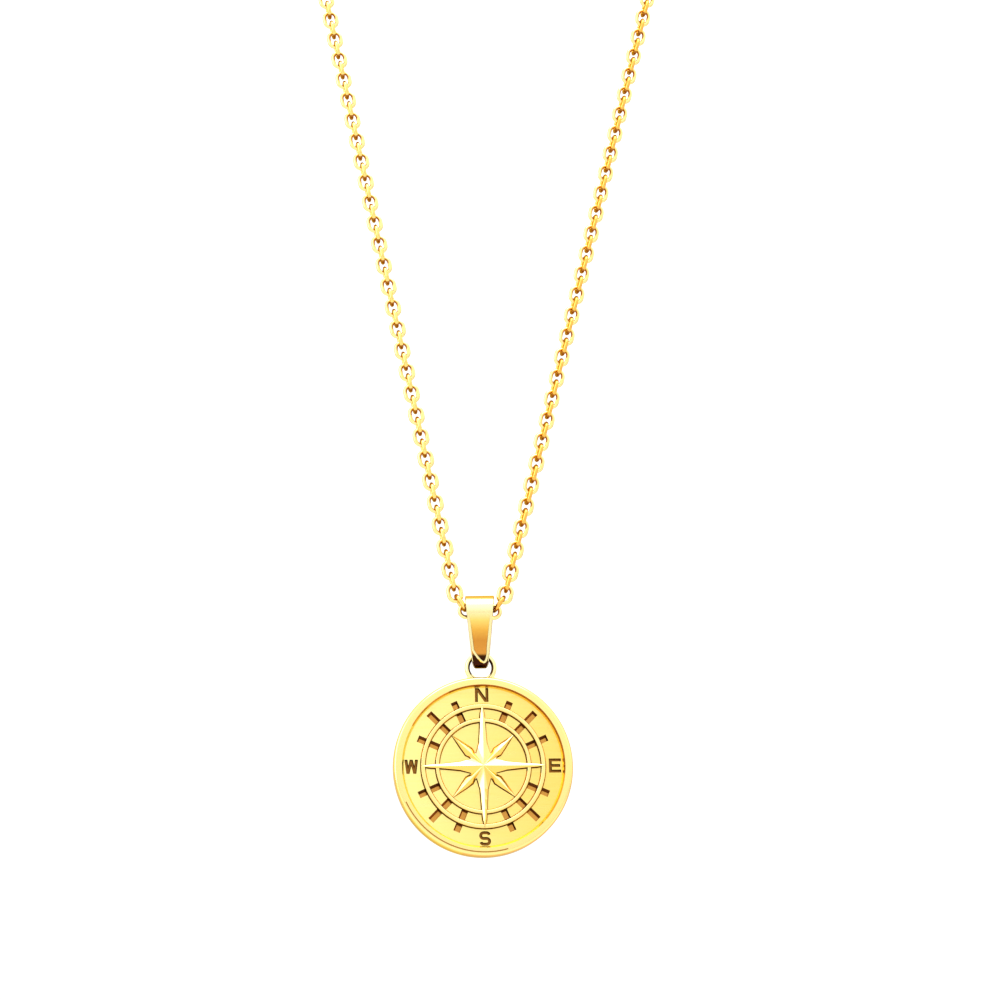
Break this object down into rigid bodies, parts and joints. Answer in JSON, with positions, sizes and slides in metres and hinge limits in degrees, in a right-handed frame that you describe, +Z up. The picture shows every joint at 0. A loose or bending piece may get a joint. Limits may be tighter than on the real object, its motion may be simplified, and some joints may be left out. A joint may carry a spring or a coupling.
{
  "type": "compass pendant necklace",
  "caption": "Round compass medallion that hangs by a folded bail from a fine cable chain, a closed loop worn round the neck.",
  "frame": {"origin": "middle of the clasp's lower edge at the nape, where the necklace hangs", "axes": "+Z up, the chain loop lies in the XZ plane, and the medallion's dial faces -Y"},
  "size_m": [0.0848, 0.0038, 0.2491],
  "materials": {
    "medallion_gold": "polished gold plate with a finely brushed field",
    "bail_gold": "polished gold plate",
    "chain_gold": "polished gold plate"
  },
  "bodies": {
    "necklace": {"chain_front": "chain_gold", "chain_back": "chain_gold", "clasp": "chain_gold"},
    "bail": {"bail": "bail_gold"},
    "medallion": {"medallion": "medallion_gold"}
  },
  "joints": [
    {"name": "bail_swing", "type": "hinge", "parent": "necklace", "child": "bail", "pos_m": [0, 0, -0.21782], "axis": [0.9943, -0.1045, 0.0226], "range_deg": [-90, 90]},
    {"name": "medallion_swing", "type": "hinge", "parent": "bail", "child": "medallion", "pos_m": [0.00015, 0, -0.2243], "axis": [0, 1, 0], "range_deg": [-85, 85]}
  ]
}
